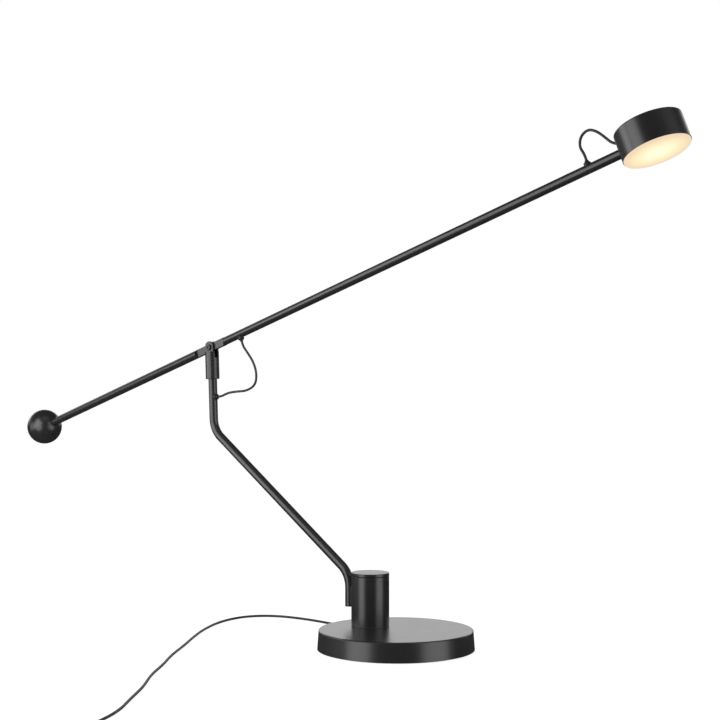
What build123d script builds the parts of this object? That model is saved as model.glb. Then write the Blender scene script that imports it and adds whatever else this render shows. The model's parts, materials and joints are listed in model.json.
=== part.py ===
from build123d import *
from math import atan2, cos, degrees, dist, pi, radians, sin, sqrt, tan
import os

# Counterweight balance desk lamp, in millimetres.
# +Z is up, the desk is z = 0, the base's centre is x = y = 0, and the arm lies in the plane y = 0
# with its lit head towards +X.

# ---------------------------------------------------------------- driving dimensions
# General clearances
press_gap = 0.05          # radial room of one fixed piece inside another
running_gap = 0.05        # radial room of a shaft that turns in its bore
loose_gap = 0.3           # between pieces that move past each other without touching
cut_past = 1.0            # how far a cut runs past the face it opens
screw_end_room = 1.0      # thread left free beyond a screw's end
socket_share = 0.6        # depth of a screw's socket as a share of its head's height

# Base
base_foot_radius = 92.0
base_draft = 1.6          # how much smaller the cover's radius is at its top
base_height = 23.6
rim_lift = 1.0            # the cover's rim hangs this far above the desk
cover_wall = 3.0
cover_top_wall = 3.0
cover_edge_radius = 1.4
pad_inset = 0.6           # from the cover's inner side back to the pad and the plate
pad_thickness = 2.0
plate_thickness = 1.5
weight_rim_gap = 0.6
base_screw_circle = 62.0
base_screw_radius = 2.0
base_screw_length = 10.0
base_screw_head_radius = 3.8
base_screw_head_height = 1.2
base_screw_count = 3
base_head_room = 0.2      # between a screw's head and the floor of its pocket in the pad

# Swivel hub under the column
column_offset = 41.5      # from the base's centre to the column's axis, towards -X
hub_stem_radius = 6.0
hub_bore_radius = 3.0
hub_flange_radius = 14.0
hub_flange_height = 2.0
hub_journal_radius = 7.0
hub_thread_radius = 5.0
hub_nut_radius = 10.0
hub_nut_height = 4.0
hub_web = 4.0             # thickness of the weight between the cover and the lower nut
hub_tail = 1.0            # thread left beyond each nut
nut_room = 2.0
channel_bend_circle = 60.0   # where the lead's channel in the weight turns towards the hub
clamp_nut_radius = 8.5
clamp_nut_height = 4.5
wave_washer_radius = 9.5
wave_washer_height = 1.0
stop_lug_width = 3.4
stop_lug_reach = 5.0
stop_pin_radius = 1.2
stop_pin_circle = 17.0

# Column
column_radius = 22.5
column_wall = 2.0
column_length = 58.1
swivel_washer_height = 0.8
swivel_washer_width = 2.7
floor_lift = 1.8          # from the column's foot to the underside of its floor
floor_height = 4.0
groove_drop = 4.2         # fine turned groove below the column's top edge
groove_depth = 0.35
groove_height = 0.5
board_offset = 12.0
board_width = 28.0
board_height = 31.0
board_thickness = 1.6
board_lug_size = 4.0
board_lug_width = 2.0
coil_block = 11.0
coil_depth = 5.0
capacitor_radius = 2.4
capacitor_height = 9.0
capacitor_spread = 3.2    # from the board's middle line to each capacitor's axis
component_gap = 2.0
board_lead_rise = 9.0     # from the hub's top up to the lead's turn towards the board

# Dimmer
pot_bracket_drop = 8.5    # from the column's top edge to the bracket's top
pot_bracket_height = 2.0
pot_radius = 8.0
pot_height = 7.0
pot_bush_radius = 3.6
pot_bush_rise = 4.6
pot_nut_radius = 5.6
pot_nut_height = 2.0
knob_shaft_radius = 3.0
knob_shaft_drop = 5.5     # length of the knob's shaft inside the pot
knob_height = 3.3
knob_gap = 0.6
knob_edge_radius = 0.5
knob_boss_radius = 6.0
knob_boss_drop = 3.0
knob_shaft_seat = 2.0     # how far the shaft goes up into the knob's disc

# Stem
stem_radius = 5.6
stem_wall = 1.5
saddle_gap = 5.9          # between the column's side and the stem
saddle_width = 8.0
saddle_foot = 2.2         # the saddle starts this far above the stem's lower end
saddle_height = 22.0
stem_foot_rise = 18.3     # from the column's foot to the stem's lower end
stem_leg = 38.5           # from the lower end to the first corner
stem_reach = 248.3        # horizontal run of the slanting length, corner to corner
stem_slope = 33.7         # degrees above the horizontal
stem_lean = 2.4           # degrees, the upper leg's top leans towards -X
stem_upper_leg = 107.8    # from the second corner to the arm's pivot
stem_bend_radius = 30.0
plug_cap_height = 1.0
plug_length = 13.0
saddle_screw_radius = 1.5
saddle_screw_head_radius = 2.75
saddle_screw_head_height = 1.8
saddle_screw_length = 14.5
saddle_screw_heights = (4.5, 10.0)   # above the stem's lower end
saddle_seat = 0.6         # flat the screw heads sit on, inwards from the column's wall
lead_way_drop = 19.0      # the lead's way out of the column meets the stem's axis this far below its corner
lead_way_slope = 15.0     # degrees above the horizontal
lead_way_room = 0.6
lead_way_length = 19.5    # from the stem's axis into the column
lead_way_end = 2.0        # the lead stops this much before the way's end
column_edge_radius = 0.4
fork_edge_radius = 0.6
grub_inset = 10.0         # from the ball's surface at the rod back to the grub screw
collar_gap = 0.3

# Fork on the stem's top, measured along the leaning axis from the pivot
fork_radius = 9.0
fork_below_pivot = 41.3
slot_width = 6.2
slot_depth = 13.4         # below the pivot
fork_web = 3.0
bush_wall = 2.8
bush_recess = 2.4         # how far the stem's end hides inside the bush
spigot_radius = 4.0
spigot_collar_height = 1.0
spigot_depth = 15.0
spigot_screw_radius = 1.5
spigot_screw_head_radius = 2.75
spigot_screw_head_height = 1.6
spigot_screw_length = 10.0
spigot_washer_height = 0.5
pivot_bolt_radius = 2.0
pivot_head_radius = 3.9
pivot_head_height = 2.0
ear_radius = 8.0
ear_face = 5.1            # from the slot's middle to an ear's flat outer face
ear_drop = 5.5            # the ears' flats end this far below the pivot
pivot_head_edge_radius = 0.6
pivot_socket_radius = 1.45
pivot_socket_depth = 1.2
pivot_nut_radius = 3.6
pivot_nut_height = 2.2
friction_washer_radius = 5.0
friction_washer_height = 0.5

# Arm, measured along its axis from the pivot, positive towards the head
arm_angle = 16.94         # degrees above the horizontal
arm_radius = 5.2
arm_wall = 1.0
rear_radius = 5.5
bar_rear = 40.0
bar_front = 28.0
bar_nose = 1.0            # cone from the bar's size down to the tube's
flat_rear = 24.0
flat_front = 23.0
bar_spigot = 14.0
bar_spigot_radius = 3.2
arm_length = 676.0        # pivot to the tube's end at the head
ball_radius = 25.0
ball_centre = 392.7
ball_socket_depth = 18.0
grub_radius = 2.0
grub_sink = 2.5           # from the ball's surface down to the screw's end
grub_socket_radius = 1.2
grub_socket_depth = 2.0
end_bush_length = 16.0

# Leads and their grommets
lead_radius = 1.5
lead_turn_radius = 5.0    # tight turns inside a housing
grommet_turn_radius = 3.4    # the turn from a tube's axis into a grommet
base_turn_radius = 15.0   # the turn in the weight's channel
grommet_run = 8.0         # a loop runs straight on this far past a grommet's collar
lead_gap = 0.05
grommet_radius = 4.0
grommet_height = 2.4
grommet_nose_radius = 2.6
grommet_nose = 2.0
grommet_lip = 0.6         # thickness of the nose's end round the lead
grommet_edge_radius = 1.0
grommet_below_pivot = 64.8
lower_grommet_at = 58.2
upper_grommet_inset = 45.0   # from the arm's end back to its upper grommet

# Head
head_radius = 36.5
head_height = 32.3
head_wall = 2.0
head_top_wall = 2.5
head_edge_radius = 1.6
head_gap = 1.7            # from the tube's end to the head's wall, along the arm
head_lift = 0.5           # the head's centre above the arm's axis
head_tilt = 23.1          # degrees above the horizontal
head_bolt_radius = 2.5
head_bolt_head_radius = 4.2
head_bolt_head_height = 3.0
head_washer_radius = 5.0
head_washer_height = 1.2
seat_width = 13.0
seat_depth = 3.5          # thickness of the inner seat at the arm's axis
gland_rise = 9.2          # above the arm's axis at the head's wall
gland_slant = 20.0        # degrees that the lead runs downwards into the head
gland_radius = 2.2
gland_tip_radius = 1.9
gland_length = 4.0        # from the wall out to the gland's tip
gland_taper_root = 1.5
gland_inside = 4.0        # from the wall's outer face to the gland's inner end
gland_run = 6.5           # the loop runs straight on this far before the gland's tip
seat_rise = 5.2           # the seat's top above the arm's axis
head_bore_reach = 6.0     # how far the bores in the head's wall are cut, from its outer face
sink_drop = 4.6           # from the head's middle down to the heat sink's top
sink_height = 3.5
fin_height = 2.2
fin_width = 1.6
fin_count = 7
fin_pitch = 4.8
fin_length = 29.0
fin_start = -8.0          # the fins' end at the arm, from the head's axis
led_board_radius = 25.0
led_board_height = 1.5
chip_size = 3.0
chip_height = 0.8
chip_circles = ((6, 9.0), (12, 18.0))    # how many chips on a circle of which radius
reflector_wall = 0.8
reflector_inner_radius = 26.0
diffuser_radius = 35.7
diffuser_height = 2.0
diffuser_spigot = 2.2
diffuser_spigot_wall = 1.2
diffuser_edge_radius = 0.9
head_screw_circle = 30.5
head_screw_radius = 1.5
head_screw_head_radius = 2.4
head_screw_head_height = 1.2
head_screw_length = 8.0
head_boss_radius = 3.4
head_screw_angles = (20, 100, 260)
terminal_size = 7.0
terminal_height = 4.0
terminal_inset = 20.0     # from the head's axis towards the arm
terminal_side = 9.0
terminal_rise = 5.0       # from the terminal's top up to the lead's turn
terminal_turn_radius = 3.0
head_lead_run = 3.0       # from the gland's inner end to the lead's turn

# Supply lead
exit_angle = 154.0        # degrees from +X, seen from above
exit_height = 9.0
relief_length = 24.0
relief_root_radius = 3.4
relief_tip_radius = 2.2
relief_flange_radius = 5.0
relief_flange_height = 1.6
relief_inner = 7.0
relief_ribs = 4
relief_rib_start = 4.0
relief_rib_pitch = 4.4
relief_rib_width = 1.2
relief_core_gap = 0.1     # what is left over the tip's size at the bottom of a groove
tail_start = 12.0
tail_reach = 22.0
tail_bend = 7.2           # the tail's last turn, before the adapter
adapter_angle = -20.0     # the adapter's length on the desk, degrees from +X
adapter_length = 62.0
adapter_width = 38.0
adapter_height = 27.0
adapter_edge_radius = 3.0
adapter_wall = 2.0
adapter_front_depth = 20.0
adapter_board_height = 1.6
adapter_board_start = 6.0    # from the rear wall's outer face
pin_radius = 2.0
pin_length = 19.0
pin_root = 5.0
pin_spacing = 19.0
pin_tip_radius = 1.8
adapter_relief_length = 16.0
coil_gap = 0.55           # free space between one turn of the coil and the next
coil_middle_radius = 17.0
coil_quarters_in = 8      # quarter turns from the outside of a layer to its inside
coil_layers = 4
coil_centre = (113.0, -546.0)
coil_sample_count = 1600  # points on the coil at which its gap to itself is measured
coil_start_angle = 202.0  # where the lead joins the coil, degrees seen from the coil's centre

# The leads' routes. Each arc between two runs takes this share of the shorter run.
arc_share = 0.45
# Loop at the pivot, between the stem's grommet and the arm's, x and z from the pivot
pivot_loop_route = [
    (31.3, -59.1), (48.3, -57.1), (68.3, -55.9), (84.7, -48.3),
    (87.1, -33.9), (81.4, -19.9), (70.2, -7.5),
]
pivot_loop_corner_count = 4    # corners in the first half, which ends in the middle of the next run
# Loop at the head, between the arm's grommet and the head's gland, along the arm from the grommet
# and above the arm's axis
head_loop_route = [(-4.4, 26.5), (0.2, 36.9), (11.2, 40.4), (21.0, 34.2), (29.0, 24.0)]
# Supply lead from its strain relief to the coil, x, y and the height of its middle
cord_route = [
    (-117.5, 56.0, 8.4), (-139.0, 64.2, 3.4), (-168.0, 70.6, 1.5), (-204.0, 73.6, 1.5), (-240.0, 72.8, 1.5),
    (-272.5, 66.0, 1.5), (-294.5, 47.5, 1.5), (-301.0, 19.0, 1.5), (-290.0, -22.5, 1.5), (-261.0, -72.0, 1.5),
    (-228.0, -116.0, 1.5), (-191.0, -161.5, 1.5), (-155.5, -209.0, 1.5), (-116.0, -253.5, 1.5),
    (-79.0, -300.5, 1.5), (-37.0, -343.0, 1.5), (0.5, -389.0, 1.5), (38.0, -432.5, 1.5),
    (64.0, -479.5, 1.5), (81.0, -522.0, 1.5),
]

# ---------------------------------------------------------------- places worked out from them
column_x = -column_offset
column_foot = base_height + swivel_washer_height
column_top = column_foot + column_length
column_bore = column_radius - column_wall
plate_bottom = pad_thickness
base_top_radius = base_foot_radius - base_draft
pad_radius = base_foot_radius - cover_wall - pad_inset
weight_bottom = plate_bottom + plate_thickness
weight_top = base_height - cover_top_wall
weight_radius = base_top_radius - cover_wall - weight_rim_gap
floor_bottom = column_foot + floor_lift
floor_top = floor_bottom + floor_height
stem_x = column_x - column_radius - saddle_gap - stem_radius
stem_foot = column_foot + stem_foot_rise
stem_bore = stem_radius - stem_wall
first_corner = Vector(stem_x, 0, stem_foot + stem_leg)
second_corner = first_corner + Vector(-stem_reach, 0, stem_reach * tan(radians(stem_slope)))
lean_axis = Vector(-sin(radians(stem_lean)), 0, cos(radians(stem_lean)))
pivot = second_corner + lean_axis * stem_upper_leg
arm_along = Vector(cos(radians(arm_angle)), 0, sin(radians(arm_angle)))
arm_up = Vector(-sin(radians(arm_angle)), 0, cos(radians(arm_angle)))
arm_bore = arm_radius - arm_wall
head_centre = arm_length + head_gap + head_radius
upper_grommet_at = arm_length - upper_grommet_inset
head_out = Vector(cos(radians(head_tilt)), 0, sin(radians(head_tilt)))
head_up = Vector(-sin(radians(head_tilt)), 0, cos(radians(head_tilt)))
head_middle = pivot + arm_along * head_centre + arm_up * head_lift
exit_out = Vector(cos(radians(exit_angle)), sin(radians(exit_angle)), 0)

# Frames: a length along each frame's own Z is a length along that axis
ground = Location(Plane.XY)
column_frame = Location((column_x, 0, 0))
fork_frame = Plane(origin=pivot, x_dir=Vector(0, 1, 0).cross(lean_axis), z_dir=lean_axis).location
arm_frame = Plane(origin=pivot, x_dir=arm_up, z_dir=arm_along).location
pivot_frame = Plane(origin=pivot, x_dir=arm_along, z_dir=(0, 1, 0)).location
head_frame = Plane(origin=head_middle, x_dir=head_out, z_dir=head_up).location

BASED = (Align.CENTER, Align.CENTER, Align.MIN)


# ---------------------------------------------------------------- shapes used again and again
def rod(frame, radius, start, end):
    """A round bar along the frame's Z axis."""
    return frame * Pos(0, 0, start) * Cylinder(radius, end - start, align=BASED)


def ring(frame, outer, inner, start, end):
    """A washer or tube along the frame's Z axis."""
    return rod(frame, outer, start, end) - rod(frame, inner, start, end)


def taper(frame, first_radius, last_radius, start, end):
    """A cone frustum along the frame's Z axis."""
    return frame * Pos(0, 0, start) * Cone(first_radius, last_radius, end - start, align=BASED)


def hexagon_bar(frame, corner_radius, start, end):
    """A six-sided bar along the frame's Z axis."""
    return frame * Pos(0, 0, start) * extrude(RegularPolygon(corner_radius, 6), end - start)


def block(frame, x, y, z):
    """A block between the given pairs of lowest and highest x, y and z in the frame."""
    size = [high - low for low, high in (x, y, z)]
    middle = [(low + high) / 2 for low, high in (x, y, z)]
    return frame * Pos(*middle) * Box(*size)


def around(frame, count, radius, turn=0.0):
    """Places spread evenly on a circle about the frame's Z axis."""
    return [
        frame * Rot(0, 0, turn + 360 * i / count) * Pos(radius, 0, 0)
        for i in range(count)
    ]


def route_radii(points, name):
    """The radius at each corner of a lead's route, as large as its two runs allow."""
    radii = []
    for before, here, after in zip(points, points[1:], points[2:]):
        turn = (here - before).get_angle(after - here)
        run = min((here - before).length, (after - here).length)
        radii.append(arc_share * run / tan(radians(turn) / 2))
    print(name, "smallest radii", [round(r, 1) for r in sorted(radii)[:4]])
    return radii


def tube_along(path, radius):
    """A solid round bar along a path."""
    section = Plane(origin=path @ 0, z_dir=path % 0) * Circle(radius)
    return sweep(section, path=path)


def lead(points, radii, name):
    """A lead along points, with its volume compared with its section times its length."""
    path = FilletPolyline(*points, radius=radii)
    tube = tube_along(path, lead_radius)
    share = tube.volume / (pi * lead_radius ** 2 * path.length)
    print(name, "length", round(path.length, 1), "volume share", round(share, 4))
    return tube


def quarter_turn_arcs(start, start_way, end, end_way):
    """Two tangent arcs from one point and direction to another."""
    chord = end - start
    ways = start_way + end_way
    spread = 2 * (1 - start_way.dot(end_way))
    reach = (sqrt(chord.dot(ways) ** 2 + spread * chord.dot(chord)) - chord.dot(ways)) / spread
    first = start + start_way * reach
    second = end - end_way * reach
    middle = (first + second) / 2
    return [
        TangentArc(start, middle, tangent=start_way),
        TangentArc(middle, end, tangent=(second - first).normalized()),
    ]


def grommet(frame, tube_radius, tube_bore):
    """A rubber grommet in a tube's wall. The frame's Z points out of the tube from its axis."""
    top = tube_radius + grommet_height
    body = rod(frame, grommet_nose_radius, tube_bore, top) + rod(frame, grommet_radius, 0, top)
    rim = body.edges().filter_by(GeomType.CIRCLE).sort_by_distance((frame * Pos(0, 0, top)).position)[0]
    body = fillet(rim, grommet_edge_radius)
    body += taper(frame, grommet_nose_radius, lead_radius + grommet_lip, top, top + grommet_nose)
    tube_axis = frame * Rot(0, 90, 0)
    body -= rod(tube_axis, tube_radius, -3 * grommet_radius, 3 * grommet_radius)
    body += ring(frame, grommet_nose_radius, lead_radius, tube_bore, tube_radius)
    return body - rod(frame, lead_radius + lead_gap, 0, top + grommet_nose)


def screw(frame, radius, head_radius, head_height, length, socket_radius=0.0):
    """A screw whose head's underside is at the frame's origin and whose shank runs along -Z."""
    body = rod(frame, radius, -length, 0) + rod(frame, head_radius, 0, head_height)
    if socket_radius:
        body -= hexagon_bar(frame, socket_radius, head_height * (1 - socket_share), head_height)
    return body


parts = {}

# ---------------------------------------------------------------- base
exit_rim = base_foot_radius + (base_top_radius - base_foot_radius) * (exit_height - rim_lift) / (
    base_height - rim_lift
)
exit_frame = Plane(origin=(0, 0, exit_height), x_dir=(0, 0, 1), z_dir=exit_out).location

outer_cone = taper(ground, base_foot_radius, base_top_radius, rim_lift, base_height)
outer_cone = fillet(outer_cone.edges().group_by(Axis.Z)[-1], cover_edge_radius)
inner_cone = taper(
    ground, base_foot_radius - cover_wall, base_top_radius - cover_wall, rim_lift, weight_top
)
cover = outer_cone - inner_cone
cover -= rod(column_frame, hub_stem_radius + press_gap, weight_top, base_height)
cover -= rod(exit_frame, relief_root_radius + press_gap, weight_radius, base_foot_radius + cover_wall)
parts["base_cover"] = cover

screw_places = around(ground, base_screw_count, base_screw_circle, 90.0)
channel_half = relief_flange_radius + loose_gap
channel_bend = exit_out * channel_bend_circle
channel_turn = degrees(atan2(channel_bend.Y, channel_bend.X - column_x))
channel_run = sqrt(channel_bend.Y ** 2 + (channel_bend.X - column_x) ** 2)
channel_height = (weight_bottom, exit_height + channel_half)
nut_seat = weight_top - hub_web
weight = rod(ground, weight_radius, weight_bottom, weight_top)
weight -= rod(column_frame, hub_stem_radius + press_gap, weight_bottom, weight_top)
weight -= rod(column_frame, hub_nut_radius + nut_room, weight_bottom, nut_seat)
weight -= block(
    Rot(0, 0, exit_angle), (channel_bend_circle, base_foot_radius),
    (-channel_half, channel_half), channel_height,
)
weight -= rod(Pos(channel_bend.X, channel_bend.Y, 0), channel_half, *channel_height)
weight -= block(
    column_frame * Rot(0, 0, channel_turn), (0, channel_run), (-channel_half, channel_half), channel_height
)
for place in screw_places:
    weight -= rod(place, base_screw_radius + press_gap, weight_bottom, weight_bottom + base_screw_length)
parts["base_weight"] = weight

plate = rod(ground, pad_radius, plate_bottom, weight_bottom)
screws = []
for place in screw_places:
    plate -= rod(place, base_screw_radius + press_gap, plate_bottom, weight_bottom)
    head = place * Pos(0, 0, plate_bottom) * Rot(180, 0, 0)
    shank = base_screw_length + plate_thickness - screw_end_room
    screws.append(screw(head, base_screw_radius, base_screw_head_radius, base_screw_head_height, shank))
parts["base_plate"] = plate
parts["base_screws"] = Compound(children=screws)

pad = rod(ground, pad_radius, 0, pad_thickness)
for place in screw_places:
    pocket_floor = pad_thickness - base_screw_head_height - base_head_room
    pad -= rod(place, base_screw_head_radius + loose_gap, pocket_floor, pad_thickness)
parts["base_pad"] = pad

# ---------------------------------------------------------------- swivel hub
hub_bottom = nut_seat - hub_nut_height - hub_tail
flange_top = base_height + hub_flange_height
hub_top = floor_top + wave_washer_height + clamp_nut_height + hub_tail
hub = rod(column_frame, hub_stem_radius, hub_bottom, base_height)
hub += rod(column_frame, hub_flange_radius, base_height, flange_top)
hub += rod(column_frame, hub_journal_radius, flange_top, floor_top)
hub += rod(column_frame, hub_thread_radius, floor_top, hub_top)
hub += block(
    column_frame,
    (0, hub_flange_radius + stop_lug_reach),
    (-stop_lug_width / 2, stop_lug_width / 2),
    (base_height, flange_top),
)
hub -= rod(column_frame, hub_bore_radius, hub_bottom, hub_top)
parts["swivel_hub"] = hub
lower_nut = hexagon_bar(column_frame, hub_nut_radius, nut_seat - hub_nut_height, nut_seat)
lower_nut -= rod(column_frame, hub_stem_radius + press_gap, hub_bottom, nut_seat)
parts["swivel_washer"] = ring(
    column_frame, column_radius - loose_gap, column_radius - swivel_washer_width, base_height, column_foot
)
clamp_bottom = floor_top + wave_washer_height
parts["wave_washer"] = ring(
    column_frame, wave_washer_radius, hub_thread_radius + loose_gap, floor_top, clamp_bottom
)
clamp_nut = hexagon_bar(column_frame, clamp_nut_radius, clamp_bottom, clamp_bottom + clamp_nut_height)
clamp_nut -= rod(column_frame, hub_thread_radius + press_gap, clamp_bottom, hub_top)
parts["hub_nuts"] = Compound(children=[lower_nut, clamp_nut])

# ---------------------------------------------------------------- supply lead inside the base
relief_start = exit_rim - cover_wall - relief_inner
inner_height = hub_bottom - lead_turn_radius
inner_route = [
    exit_out * relief_start + Vector(0, 0, exit_height),
    channel_bend + Vector(0, 0, inner_height + lead_radius),
    Vector(column_x, 0, inner_height),
    Vector(column_x, 0, hub_top),
]
inner_path = FilletPolyline(*inner_route, radius=[base_turn_radius, lead_turn_radius])
parts["base_lead"] = tube_along(inner_path, lead_radius)

relief_end = exit_rim + relief_length
relief = taper(exit_frame, relief_root_radius, relief_tip_radius, exit_rim - cover_wall / 2, relief_end)
relief += rod(exit_frame, relief_root_radius, relief_start, exit_rim - cover_wall / 2)
relief += rod(exit_frame, relief_flange_radius, relief_start, relief_start + relief_flange_height)
for i in range(relief_ribs):
    rib = exit_rim + relief_rib_start + relief_rib_pitch * i
    relief -= ring(
        exit_frame, relief_root_radius, relief_tip_radius + relief_core_gap, rib, rib + relief_rib_width
    )
relief -= rod(exit_frame, lead_radius + lead_gap, relief_start, relief_end)
parts["base_lead_relief"] = relief

# ---------------------------------------------------------------- column
lead_way = Location(
    Plane(
        origin=first_corner + Vector(0, 0, -lead_way_drop),
        x_dir=(0, 1, 0),
        z_dir=Vector(cos(radians(lead_way_slope)), 0, -sin(radians(lead_way_slope))),
    )
)
lead_way_cut = rod(lead_way, lead_radius + lead_way_room, 0, lead_way_length)
saddle_screw_frames = [
    Plane(
        origin=(column_x - column_bore + saddle_seat, 0, stem_foot + rise), x_dir=(0, 1, 0), z_dir=(1, 0, 0)
    ).location
    for rise in saddle_screw_heights
]

column = ring(column_frame, column_radius, column_bore, column_foot, column_top)
column = fillet(column.edges().group_by(Axis.Z)[-1].sort_by(SortBy.LENGTH)[-1], column_edge_radius)
groove_top = column_top - groove_drop
column -= ring(
    column_frame, column_radius + cut_past, column_radius - groove_depth,
    groove_top - groove_height, groove_top,
)
column -= lead_way_cut
for frame in saddle_screw_frames:
    column -= rod(frame, saddle_screw_radius + press_gap, -saddle_screw_length, 0)
    column -= rod(frame, saddle_screw_head_radius + press_gap, 0, column_wall)
parts["column_tube"] = column

floor = ring(column_frame, column_bore - press_gap, hub_journal_radius + running_gap, floor_bottom, floor_top)
pin_place = column_frame * Pos(-stop_pin_circle, 0, 0)
floor += rod(pin_place, stop_pin_radius, base_height + loose_gap, floor_bottom)
board_face = board_offset - board_thickness / 2
lug_half = board_lug_width + press_gap + board_thickness / 2
for side in (-1, 1):
    lug_y = sorted((side * (board_width / 2 - board_lug_size), side * board_width / 2))
    lug_x = (board_offset - lug_half, board_offset + lug_half)
    lug = block(column_frame, lug_x, lug_y, (floor_top, floor_top + board_lug_size))
    lug -= block(
        column_frame,
        (board_face - press_gap, board_face + board_thickness + press_gap),
        lug_y,
        (floor_top, floor_top + board_lug_size),
    )
    floor += lug
parts["column_floor"] = floor

board_top = floor_top + board_height
board = block(
    column_frame,
    (board_face, board_face + board_thickness),
    (-board_width / 2, board_width / 2),
    (floor_top, board_top),
)
board_back = board_face + board_thickness
component_foot = floor_top + board_lug_size + component_gap
choke = block(
    column_frame,
    (board_back, board_back + coil_depth),
    (-coil_block / 2, coil_block / 2),
    (component_foot, component_foot + coil_block),
)
component_z = component_foot + coil_block + component_gap
capacitors = [
    rod(column_frame * Pos(board_back + capacitor_radius, side * capacitor_spread, 0),
        capacitor_radius, component_z, component_z + capacitor_height)
    for side in (-1, 1)
]
column_lead_route = [
    Vector(column_x, 0, hub_top + loose_gap),
    Vector(column_x, 0, hub_top + board_lead_rise),
    Vector(column_x + board_face, 0, hub_top + board_lead_rise),
]
column_lead = tube_along(FilletPolyline(*column_lead_route, radius=[lead_turn_radius]), lead_radius)
parts["driver_board"] = Compound(children=[board, choke, *capacitors, column_lead])

# ---------------------------------------------------------------- dimmer
bracket_top = column_top - pot_bracket_drop
bracket_bottom = bracket_top - pot_bracket_height
bush_top = bracket_top + pot_bush_rise
pot_bottom = bracket_bottom - pot_height
shaft_bottom = bracket_bottom - knob_shaft_drop
parts["pot_bracket"] = ring(
    column_frame, column_bore - press_gap, pot_bush_radius + press_gap, bracket_bottom, bracket_top
)
pot = rod(column_frame, pot_radius, pot_bottom, bracket_bottom)
pot += rod(column_frame, pot_bush_radius, bracket_bottom, bush_top)
pot -= rod(column_frame, knob_shaft_radius + running_gap, shaft_bottom - loose_gap, bush_top)
pot_nut = hexagon_bar(column_frame, pot_nut_radius, bracket_top, bracket_top + pot_nut_height)
pot_nut -= rod(column_frame, pot_bush_radius + press_gap, bracket_top, bush_top)
parts["dimmer_pot"] = Compound(children=[pot, pot_nut])
knob_bottom = column_top + knob_gap
knob_top = knob_bottom + knob_height
boss_bottom = knob_bottom - knob_boss_drop
knob = rod(column_frame, column_radius, knob_bottom, knob_top)
knob = fillet(knob.edges().group_by(Axis.Z)[-1], knob_edge_radius)
knob += rod(column_frame, knob_boss_radius, boss_bottom, knob_bottom)
knob -= rod(column_frame, knob_shaft_radius + press_gap, boss_bottom, knob_bottom + knob_shaft_seat)
shaft = rod(column_frame, knob_shaft_radius, shaft_bottom, knob_bottom + knob_shaft_seat)
parts["dimmer_knob"] = Compound(children=[knob, shaft])

# ---------------------------------------------------------------- stem
tube_top = pivot - lean_axis * (fork_below_pivot - bush_recess)
stem_route = [Vector(stem_x, 0, stem_foot + plug_cap_height), first_corner, second_corner, tube_top]
stem_path = FilletPolyline(*stem_route, radius=[stem_bend_radius, stem_bend_radius])
stem_section = Plane(origin=stem_path @ 0, z_dir=stem_path % 0) * (Circle(stem_radius) - Circle(stem_bore))
stem = sweep(stem_section, path=stem_path)
stem_grommet_frame = fork_frame * Pos(0, 0, -grommet_below_pivot) * Rot(0, 90, 0)
stem -= rod(stem_grommet_frame, grommet_nose_radius, 0, stem_radius + cut_past)
stem -= lead_way_cut
for frame in saddle_screw_frames:
    stem -= rod(frame, saddle_screw_radius + press_gap, -saddle_screw_length - cut_past, 0)
parts["stem_tube"] = stem

plug_frame = Location((stem_x, 0, stem_foot))
plug = rod(plug_frame, stem_radius, 0, plug_cap_height)
plug += rod(plug_frame, stem_bore - press_gap, plug_cap_height, plug_cap_height + plug_length)
for frame in saddle_screw_frames:
    plug -= rod(frame, saddle_screw_radius + press_gap, -saddle_screw_length - loose_gap, 0)
parts["stem_end_plug"] = plug

saddle = block(
    ground,
    (stem_x, column_x - column_radius + column_wall),
    (-saddle_width / 2, saddle_width / 2),
    (stem_foot + saddle_foot, stem_foot + saddle_foot + saddle_height),
)
saddle -= rod(column_frame, column_radius, column_foot, column_top)
saddle -= rod(plug_frame, stem_radius, 0, stem_leg)
saddle -= lead_way_cut
for frame in saddle_screw_frames:
    saddle -= rod(frame, saddle_screw_radius + press_gap, -saddle_screw_length, 0)
parts["stem_saddle"] = saddle
parts["saddle_screws"] = Compound(
    children=[
        screw(
            frame, saddle_screw_radius, saddle_screw_head_radius, saddle_screw_head_height,
            saddle_screw_length, saddle_screw_head_radius / 2,
        )
        for frame in saddle_screw_frames
    ]
)

lead_way_start = (lead_way * Pos(0, 0, lead_way_length - lead_way_end)).position
grommet_axis = (fork_frame * Pos(0, 0, -grommet_below_pivot)).position
grommet_out = Vector(0, 1, 0).cross(lean_axis)
stem_lead_route = [
    lead_way_start,
    lead_way.position,
    first_corner,
    second_corner,
    grommet_axis,
    grommet_axis + grommet_out * (stem_radius + grommet_height),
]
stem_lead_path = FilletPolyline(
    *stem_lead_route,
    radius=[grommet_turn_radius, stem_bend_radius, stem_bend_radius, grommet_turn_radius],
)
parts["stem_lead"] = tube_along(stem_lead_path, lead_radius)
parts["stem_grommet"] = grommet(stem_grommet_frame, stem_radius, stem_bore)

# ---------------------------------------------------------------- fork and its swivel
tube_end = -(fork_below_pivot - bush_recess)
collar_top = tube_end + spigot_collar_height
web_bottom = -slot_depth - spigot_screw_head_height - spigot_washer_height - fork_web
web_top = web_bottom + fork_web
journal_top = web_bottom - loose_gap
bush_radius = spigot_radius + bush_wall
spigot = rod(fork_frame, stem_bore - press_gap, tube_end - spigot_depth, tube_end)
spigot += rod(fork_frame, stem_radius - press_gap, tube_end, collar_top)
spigot += rod(fork_frame, spigot_radius, collar_top, journal_top)
spigot -= rod(fork_frame, spigot_screw_radius + press_gap, web_top - spigot_screw_length, journal_top)
parts["stem_spigot"] = spigot
bush = ring(fork_frame, bush_radius, spigot_radius + running_gap, collar_top, web_bottom)
bush += ring(fork_frame, bush_radius, stem_radius + loose_gap, -fork_below_pivot + press_gap, collar_top)
parts["swivel_bush"] = bush
spigot_washer = ring(
    fork_frame, spigot_screw_head_radius, spigot_screw_radius + press_gap,
    web_top, web_top + spigot_washer_height,
)
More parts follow.
